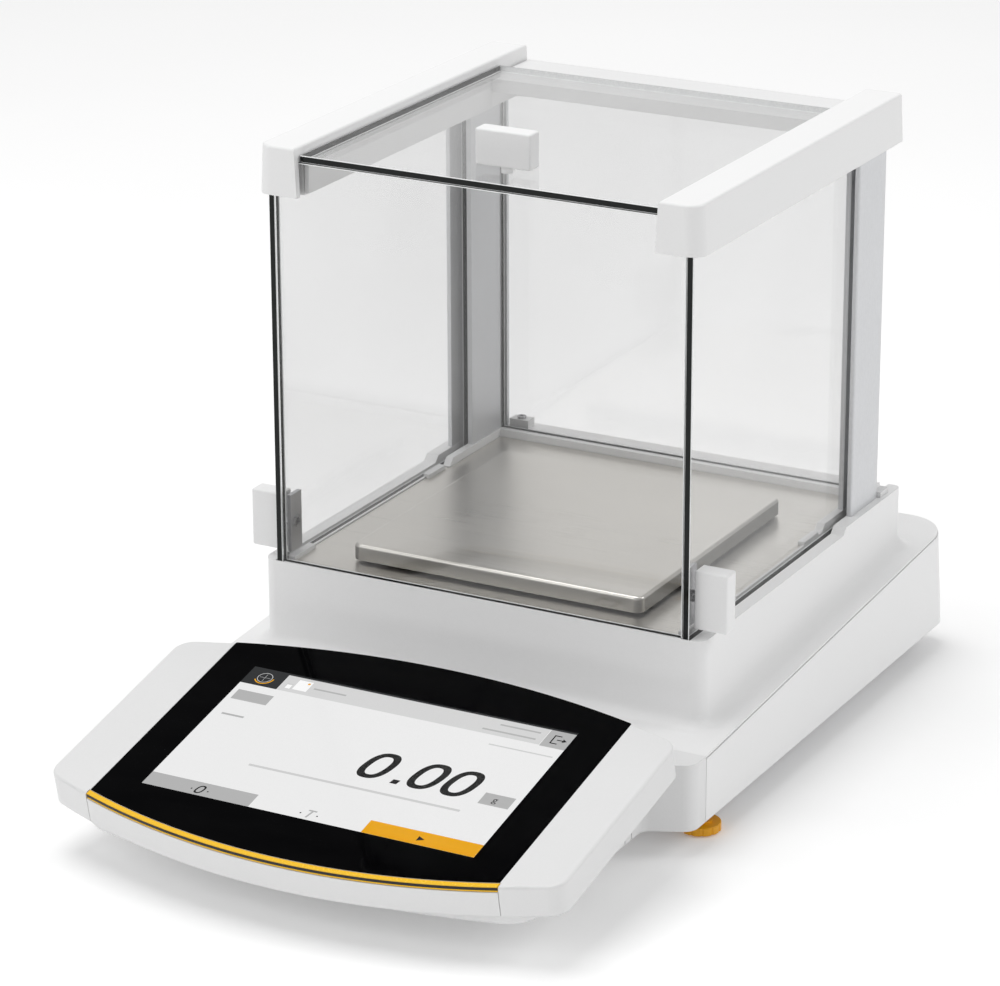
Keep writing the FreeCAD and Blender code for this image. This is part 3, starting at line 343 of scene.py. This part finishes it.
# ---------------------------------------------------------------- shapes taken from the frame
def face_loops(node, normal):
    """Outlines of the outermost flat face of a CAD node that looks along normal, longest first."""
    mesh = NODES[node].data
    flat = [p for p in mesh.polygons if p.normal.dot(normal) > 0.9999]
    level = max(p.center.dot(normal) for p in flat)
    edges = set()
    for polygon in flat:
        if level - polygon.center.dot(normal) > 0.02 * MM:
            continue
        corners = [tuple(round(c, 6) for c in mesh.vertices[i].co) for i in polygon.vertices]
        for start, end in zip(corners, corners[1:] + corners[:1]):
            if (end, start) in edges:
                edges.remove((end, start))
            else:
                edges.add((start, end))
    follow = dict(edges)
    loops = []
    while follow:
        start, point = follow.popitem()
        loop = [Vector(start)]
        while point != start:
            loop.append(Vector(point))
            point = follow.pop(point)
        loops.append(loop)
    return sorted(loops, key=lambda loop: -sum((b - a).length for a, b in zip(loop, loop[1:])))


def without_straight_points(loop):
    """Drops the points of a closed loop that lie on a straight run."""
    kept = []
    for before, point, after in zip(loop[-1:] + loop[:-1], loop, loop[1:] + loop[:1]):
        if (point - before).normalized().cross((after - point).normalized()).length > 0.002:
            kept.append(point)
    return kept


def new_object(name, bm, body, materials):
    """Turns a bmesh into a named piece that rides on a body."""
    mesh = bpy.data.meshes.new(name)
    bmesh.ops.recalc_face_normals(bm, faces=bm.faces)
    bm.to_mesh(mesh)
    bm.free()
    for material in materials:
        mesh.materials.append(material)
    piece = bpy.data.objects.new(name, mesh)
    bpy.context.scene.collection.objects.link(piece)
    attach(piece, body)
    return piece


def extrude_loops(bm, loops, direction):
    """Solid plate between loops (an outline and its holes) and the same loops moved by direction."""
    edges = []
    for loop in loops:
        ring = [bm.verts.new(point) for point in loop]
        edges += [bm.edges.new(pair) for pair in zip(ring, ring[1:] + ring[:1])]
    made = bmesh.ops.triangle_fill(bm, edges=edges, use_beauty=True)
    faces = [item for item in made["geom"] if isinstance(item, bmesh.types.BMFace)]
    copy = bmesh.ops.extrude_face_region(bm, geom=faces, use_keep_orig=True)
    moved = [item for item in copy["geom"] if isinstance(item, bmesh.types.BMVert)]
    bmesh.ops.translate(bm, verts=moved, vec=direction)
    bmesh.ops.recalc_face_normals(bm, faces=bm.faces)


def chamfer(bm, width):
    sharp = [e for e in bm.edges if len(e.link_faces) == 2 and e.calc_face_angle() > math.radians(40)]
    bmesh.ops.bevel(bm, geom=sharp, offset=width, segments=1, affect="EDGES", profile=0.5)


# ---------------------------------------------------------------- glass panes
ARRIS = 0.3 * MM
FACE_LEAN = 0.9           # a facet leaning this close to the pane's axis is one of its clear faces
EDGE_LEAN = 0.3           # and one below this is an edge; the arris lies between
PANES = {
    "front_pane": ("front_glass", Y_AXIS, "base"),
    "rear_pane": ("rear_glass", Y_AXIS, "base"),
    "door_pane_left": ("door_glass_left", X_AXIS, "door_left"),
    "door_pane_right": ("door_glass_right", X_AXIS, "door_right"),
    "top_pane": ("top_door_glass", Z_AXIS, "top_door"),
}


def make_panes(finishes):
    """Each pane gets clear faces, black polished edges and, on the arris between them, a pale painted
    highlight.
    """
    materials = [finishes["clear_glass"], glass_edge(), arris_painted_highlight()]
    for name, (node, axis, body) in PANES.items():
        low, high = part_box(node)
        thickness = (high - low).dot(axis)
        outline = without_straight_points(face_loops(node, axis)[0])
        bm = bmesh.new()
        extrude_loops(bm, [outline], -axis * thickness)
        chamfer(bm, ARRIS)
        for face in bm.faces:
            lean = abs(face.normal.dot(axis))
            face.material_index = 0 if lean > FACE_LEAN else 1 if lean < EDGE_LEAN else 2
            # the top pane's rear edge also gets the pale painted highlight
            if node == "top_door_glass" and face.normal.y > 0.9:
                face.material_index = 2
        pane = new_object(name, bm, body, materials)
        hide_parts(node)


# ---------------------------------------------------------------- control unit
GLASS_REAR = 71.2 * MM    # from the middle of the screen to the crest of the glass's rear edge
GLASS_T = 1.8             # cover glass; these and the screen measures below are in millimetres
SCREEN_HALF = 77.8
SCREEN_LOW = -45.5
SCREEN_HIGH = 46.2
HEADER_LOW = 33.6
HEADER_HIGH = 45.0
DIAL_RIGHT = -60.0        # the dark corner with the level dial ends here
KEY_HIGH = -36.8
LAYER = 0.02              # each layer of the drawing stands this far above the one below
HEADER_RIGHT = 65.9
EXIT_LEFT = 66.2
EXIT_DROP = 0.4           # the exit key reaches this far below the header
LINE_HALF = 0.5           # half the thickness of a bar that stands for a line of text
HEADER_LINES = ((-44.6, -28.8, 39.2), (44.0, 62.9, 41.4), (38.0, 62.9, 36.6))   # left, right, middle
STATUS_TAG = (-75.4, -58.0, 21.4, 28.6)                                         # left, right, low, high
LABEL_LINE = (-73.0, -62.2, 9.8, 11.0)
CAPACITY_LINE = (46.0, 75.6, 26.8, 27.6)
READING_RULE = (-42.0, 57.3, -19.8, -18.4)
UNIT_TAG = (61.4, 75.2, -11.8, -4.0)
UNIT_PLACE = (67.6, -9.3)
UNIT_SIZE = 5.2
ZERO_KEY_RIGHT = -26.7
START_KEY_LEFT = 26.2
DIGIT_MIDDLES = (10.3, 33.8, 49.3)
DIGIT_LEVEL = -1.9
DIGIT_OUTER = (13.4, 19.0)
DIGIT_INNER = (7.2, 13.6)
POINT_MARK = (20.2, 23.4, -11.3, -8.4)
KEY_MIDDLE = -41.6
ZERO_KEY_MIDDLE = -51.9
BAND_PROUD = 0.08         # the black band stands this far in front of the coloured strip
BAND_TOP = 0.35           # below the strip's upper face
BAND_HEIGHT = 1.35


def tilted_plane():
    """Origin, right, up and normal of the cover glass, read from its largest face."""
    areas = {}
    for polygon in NODES["display_glass"].data.polygons:
        key = tuple(round(c, 3) for c in polygon.normal)
        if key[2] > 0.5:
            areas.setdefault(key, [0.0, Vector()])
            areas[key][0] += polygon.area
            areas[key][1] += polygon.normal * polygon.area
    normal = max(areas.values(), key=lambda item: item[0])[1].normalized()
    up = normal.cross(X_AXIS).normalized()
    loop = face_loops("display_glass", normal)[0]
    rear = max(point.dot(up) for point in loop)
    level = loop[0].dot(normal)
    origin = normal * level + up * (rear - GLASS_REAR)
    return origin, X_AXIS, up, normal


class Face:
    """Flat drawing on the cover glass: millimetres from the middle of the screen."""

    def __init__(self):
        self.origin, self.right, self.up, self.normal = tilted_plane()
        self.bm = bmesh.new()

    def point(self, across, upward, height=0.0):
        return (self.origin + self.right * across * MM + self.up * upward * MM
                + self.normal * height * MM)

    def shape(self, loops, material, height):
        """Fills an outline, and leaves out any further loops as holes."""
        edges = []
        for loop in loops:
            ring = [self.bm.verts.new(self.point(a, b, height)) for a, b in loop]
            edges += [self.bm.edges.new(pair) for pair in zip(ring, ring[1:] + ring[:1])]
        made = bmesh.ops.triangle_fill(self.bm, edges=edges, use_beauty=True)
        for item in made["geom"]:
            if isinstance(item, bmesh.types.BMFace):
                item.material_index = material

    def bar(self, left, right, low, high, material, height, slant=0.0):
        shift = slant * (high - low)
        self.shape([[(left, low), (right, low), (right + shift, high), (left + shift, high)]],
                   material, height)


def oval(across, upward, width, tall, slant, squareness=2.5, steps=48):
    """Leaning superellipse."""
    loop = []
    for step in range(steps):
        angle = 2 * math.pi * step / steps
        cosine, sine = math.cos(angle), math.sin(angle)
        a = math.copysign(abs(cosine) ** (2 / squareness), cosine) * width / 2
        b = math.copysign(abs(sine) ** (2 / squareness), sine) * tall / 2
        loop.append((across + a + slant * b, upward + b))
    return loop


def make_cover_glass(finishes, face):
    """Black printed border with an opening for the screen."""
    outline = face_loops("display_glass", face.normal)[0]
    window = [face.point(-SCREEN_HALF, SCREEN_LOW), face.point(SCREEN_HALF, SCREEN_LOW),
              face.point(SCREEN_HALF, SCREEN_HIGH), face.point(-SCREEN_HALF, SCREEN_HIGH)]
    bm = bmesh.new()
    extrude_loops(bm, [outline, window], -face.normal * GLASS_T * MM)
    glass = new_object("cover_glass", bm, "control_unit", [finishes["black_glass"]])
    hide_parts("display_glass")


# Screen colours by index
PAPER, BAR, TAG, DARK, INK, GOLD, PALE, SOFT_GREY = range(8)
ITALIC = 0.22


def make_screen(face):
    """Weighing display in a neutral layout: reading, unit, zero key, tare key and start key."""
    materials = [
        screen_surface("screen_paper", srgb(236, 236, 236)),
        screen_surface("screen_bar", srgb(212, 212, 212)),
        screen_surface("screen_tag", srgb(178, 178, 178)),
        screen_surface("screen_dark", srgb(32, 34, 36)),
        screen_surface("screen_ink", srgb(20, 20, 20)),
        screen_surface("screen_gold", srgb(232, 164, 0)),
        screen_surface("screen_pale", srgb(250, 250, 250)),
        screen_surface("screen_soft_grey", srgb(205, 205, 205)),
    ]
    face.bar(-SCREEN_HALF, SCREEN_HALF, SCREEN_LOW, SCREEN_HIGH, PAPER, 0.0)
    face.bar(DIAL_RIGHT, SCREEN_HALF, HEADER_HIGH, SCREEN_HIGH, DARK, LAYER)
    face.bar(-SCREEN_HALF, DIAL_RIGHT, HEADER_LOW, SCREEN_HIGH, DARK, LAYER)
    face.bar(DIAL_RIGHT, HEADER_RIGHT, HEADER_LOW, HEADER_HIGH, BAR, LAYER)
    face.bar(EXIT_LEFT, SCREEN_HALF, HEADER_LOW - EXIT_DROP, HEADER_HIGH, TAG, LAYER)
    draw_level_icon(face, 2 * LAYER)
    draw_mode_icon(face, 2 * LAYER)
    draw_exit_icon(face, 2 * LAYER)
    face.bar(*STATUS_TAG, TAG, LAYER)
    for left, right, level in HEADER_LINES:
        face.bar(left, right, level - LINE_HALF, level + LINE_HALF, TAG, 2 * LAYER)
    face.bar(*LABEL_LINE, TAG, LAYER)
    face.bar(*CAPACITY_LINE, SOFT_GREY, LAYER)
    face.bar(*READING_RULE, SOFT_GREY, LAYER)
    draw_reading(face, LAYER)
    face.bar(*UNIT_TAG, TAG, LAYER)
    draw_text(face, "g", *UNIT_PLACE, UNIT_SIZE, INK, 2 * LAYER)
    face.bar(-SCREEN_HALF, ZERO_KEY_RIGHT, SCREEN_LOW, KEY_HIGH, TAG, LAYER)
    face.bar(START_KEY_LEFT, SCREEN_HALF, SCREEN_LOW, KEY_HIGH, GOLD, LAYER)
    draw_keys(face, 2 * LAYER)
    panel = new_object("screen_image", face.bm, "control_unit", materials)
    for polygon in panel.data.polygons:
        if polygon.normal.dot(face.normal) < 0:
            polygon.flip()


def draw_reading(face, height):
    """0.00 in a leaning face."""
    for middle in DIGIT_MIDDLES:
        outer = oval(middle, DIGIT_LEVEL, *DIGIT_OUTER, ITALIC)
        inner = oval(middle, DIGIT_LEVEL, *DIGIT_INNER, ITALIC)
        face.shape([outer, inner], INK, height)
    face.bar(*POINT_MARK, INK, height, ITALIC)


def draw_level_icon(face, height):
    """Level indicator: a dark dial with cross lines and a gold arc below."""
    x, y = -69.1, 39.8
    face.shape([oval(x, y, 7.0, 7.0, 0, 2.0, 32)], SOFT_GREY, height)
    face.shape([oval(x, y, 6.4, 6.4, 0, 2.0, 32)], DARK, height + 0.01)
    face.bar(x - 2.6, x + 2.6, y - 0.1, y + 0.1, TAG, height + 0.02)
    face.bar(x - 0.1, x + 0.1, y - 2.6, y + 2.6, TAG, height + 0.02)
    arc = []
    for radius, order in ((4.6, range(13)), (4.0, range(12, -1, -1))):
        for step in order:
            angle = math.radians(-150 + step * 12.5)
            arc.append((x + radius * math.cos(angle), y + radius * math.sin(angle)))
    face.shape([arc], GOLD, height)


def draw_mode_icon(face, height):
    """Small picture of a vessel and a window."""
    face.bar(-57.6, -54.4, 35.4, 39.6, SOFT_GREY, height)
    face.bar(-57.2, -54.8, 35.8, 38.6, PALE, height + 0.01)
    face.bar(-53.6, -46.8, 36.0, 43.2, PALE, height)
    face.shape([oval(-48.2, 41.6, 1.3, 1.3, 0, 2.0, 16)], GOLD, height + 0.01)


def draw_exit_icon(face, height):
    """Open bracket with an arrow leaving it."""
    left, low, high = 69.4, 36.0, 42.0
    face.bar(left, left + 0.6, low, high, INK, height)
    face.bar(left, left + 3.4, high - 0.6, high, INK, height)
    face.bar(left, left + 3.4, low, low + 0.6, INK, height)
    middle = (low + high) / 2
    face.bar(left + 2.2, left + 5.2, middle - 0.3, middle + 0.3, INK, height)
    face.shape([[(left + 4.8, middle - 1.3), (left + 6.8, middle), (left + 4.8, middle + 1.3)]], INK, height)


def draw_keys(face, height):
    middle = KEY_MIDDLE
    for x in (ZERO_KEY_MIDDLE, 0.0):
        for side in (-1, 1):
            face.shape([oval(x + side * 3.9, middle - 0.4, 0.8, 0.8, 0, 2.0, 12)], INK, height)
    zero_outer = oval(ZERO_KEY_MIDDLE, middle, 3.9, 5.6, ITALIC)
    zero_inner = oval(ZERO_KEY_MIDDLE, middle, 2.3, 4.0, ITALIC)
    face.shape([zero_outer, zero_inner], INK, height)
    face.bar(-0.8, 0.1, middle - 2.6, middle + 1.8, TAG, height, ITALIC)
    face.bar(-1.4, 2.4, middle + 1.8, middle + 2.7, TAG, height, ITALIC)
    face.shape([[(50.2, middle - 1.6), (53.4, middle), (50.2, middle + 1.6)]], INK, height)


def draw_text(face, body, across, upward, size, material, height):
    curve = bpy.data.curves.new("letter", "FONT")
    curve.body = body
    curve.size = size
    curve.align_x = "CENTER"
    holder = bpy.data.objects.new("letter", curve)
    bpy.context.scene.collection.objects.link(holder)
    bpy.context.view_layer.update()
    mesh = bpy.data.meshes.new_from_object(holder.evaluated_get(bpy.context.evaluated_depsgraph_get()))
    verts = [face.bm.verts.new(face.point(across + v.co.x, upward + v.co.y, height)) for v in mesh.vertices]
    for polygon in mesh.polygons:
        made = face.bm.faces.new([verts[i] for i in polygon.vertices])
        made.material_index = material
    bpy.data.objects.remove(holder)


def make_accent_band(finishes, face):
    """Black band along the upper part of the coloured strip's upright front."""
    loop = face_loops("accent_strip", face.normal)[0]
    flat = [((p - face.origin).dot(face.right) / MM, (p - face.origin).dot(face.up) / MM) for p in loop]
    level = (loop[0] - face.origin).dot(face.normal) / MM
    left = min(flat, key=lambda spot: (round(spot[0], 1), spot[1]))
    right = max(flat, key=lambda spot: (round(spot[0], 1), -spot[1]))
    ring = flat[flat.index(left):] + flat[:flat.index(left)]
    turn = ring.index(right)
    sides = (ring[:turn + 1], ring[:1] + ring[:turn - 1:-1])
    front = min(sides, key=lambda side: sum(upward for across, upward in side) / len(side))
    outline = [(a, b - BAND_PROUD) for a, b in front] + [(a, b + BAND_PROUD) for a, b in front[::-1]]
    bm = bmesh.new()
    extrude_loops(bm, [[face.point(a, b, level - BAND_TOP) for a, b in outline]],
                  -face.normal * BAND_HEIGHT * MM)
    new_object("accent_band", bm, "control_unit", [finishes["black_plastic"]])


# ---------------------------------------------------------------- camera, floor and light
CAMERA_PLACE = Vector((792.15, -1475.20, 728.14)) * MM
CAMERA_AZIMUTH = 27.400
CAMERA_ELEVATION = 19.637
CAMERA_ROLL = 0.161
CAMERA_LENS = 148.2
CAMERA_SHIFT = (-0.0706, -0.0238)
FLOOR_HALF = 6.0
FLOOR_DROP = 0.0002       # the table top lies this far under the feet
FLOOR_GLOW = 0.14
WORLD_STRENGTH = 0.43
LIGHT_TARGET = Vector((0, 0, 0.12))
LIGHTS = (
    # name, place, side of the square, power in watts
    ("top_light", (-0.45, 0.0, 2.2), 1.3, 21.0),
    ("right_light", (1.9, 0.9, 1.7), 1.0, 13.0),
    ("front_light", (-0.9, -1.9, 1.5), 1.2, 9.5),
    ("back_light", (-1.1, 2.4, 1.0), 2.0, 5.5),
)


def make_camera():
    azimuth, elevation = math.radians(CAMERA_AZIMUTH), math.radians(CAMERA_ELEVATION)
    roll = math.radians(CAMERA_ROLL)
    back = Vector((math.sin(azimuth) * math.cos(elevation), -math.cos(azimuth) * math.cos(elevation),
                   math.sin(elevation)))
    level_right = Vector((math.cos(azimuth), math.sin(azimuth), 0))
    level_up = back.cross(level_right)
    right = level_right * math.cos(roll) + level_up * math.sin(roll)
    up = level_up * math.cos(roll) - level_right * math.sin(roll)
    data = bpy.data.cameras.new("camera")
    data.sensor_width = 36.0
    data.lens = CAMERA_LENS
    data.shift_x, data.shift_y = CAMERA_SHIFT
    data.clip_start = 0.05
    data.clip_end = 50.0
    camera = bpy.data.objects.new("camera", data)
    turn = Matrix((right, up, back)).transposed().to_4x4()
    camera.matrix_world = Matrix.Translation(CAMERA_PLACE) @ turn
    bpy.context.scene.collection.objects.link(camera)
    bpy.context.scene.camera = camera


def make_floor():
    """Plain white table top."""
    bm = bmesh.new()
    corners = [(-1, -1), (1, -1), (1, 1), (-1, 1)]
    bm.faces.new([bm.verts.new((x * FLOOR_HALF, y * FLOOR_HALF, -FLOOR_DROP)) for x, y in corners])
    mesh = bpy.data.meshes.new("floor")
    bm.to_mesh(mesh)
    bm.free()
    floor = bpy.data.objects.new("floor", mesh)
    bpy.context.scene.collection.objects.link(floor)
    material, tree, shader = new_material("floor")
    grain = noise(tree, (3, 3, 3), 2.0)
    tree.links.new(tint(tree, grain, srgb(247, 247, 247), srgb(249, 249, 249)), shader.inputs["Base Color"])
    shader.inputs["Roughness"].default_value = 0.7
    shader.inputs["Specular IOR Level"].default_value = 0.1
    shader.inputs["Emission Color"].default_value = (1, 1, 1, 1)
    shader.inputs["Emission Strength"].default_value = FLOOR_GLOW
    mesh.materials.append(material)


def make_light():
    world = bpy.data.worlds.new("studio")
    bpy.context.scene.world = world
    world.use_nodes = True
    world.node_tree.nodes["Background"].inputs["Color"].default_value = (1, 1, 1, 1)
    world.node_tree.nodes["Background"].inputs["Strength"].default_value = WORLD_STRENGTH
    for name, place, size, power in LIGHTS:
        data = bpy.data.lights.new(name, "AREA")
        data.shape = "SQUARE"
        data.size = size
        data.energy = power
        light = bpy.data.objects.new(name, data)
        light.location = place
        light.rotation_mode = "QUATERNION"
        light.rotation_quaternion = (LIGHT_TARGET - Vector(place)).to_track_quat("-Z", "Y")
        bpy.context.scene.collection.objects.link(light)
    bpy.context.scene.view_settings.view_transform = "Standard"


# ---------------------------------------------------------------- build
finishes = dress_cad_nodes()
make_panes(finishes)
drawing = Face()
make_cover_glass(finishes, drawing)
make_accent_band(finishes, drawing)
make_screen(drawing)
make_camera()
make_floor()
make_light()
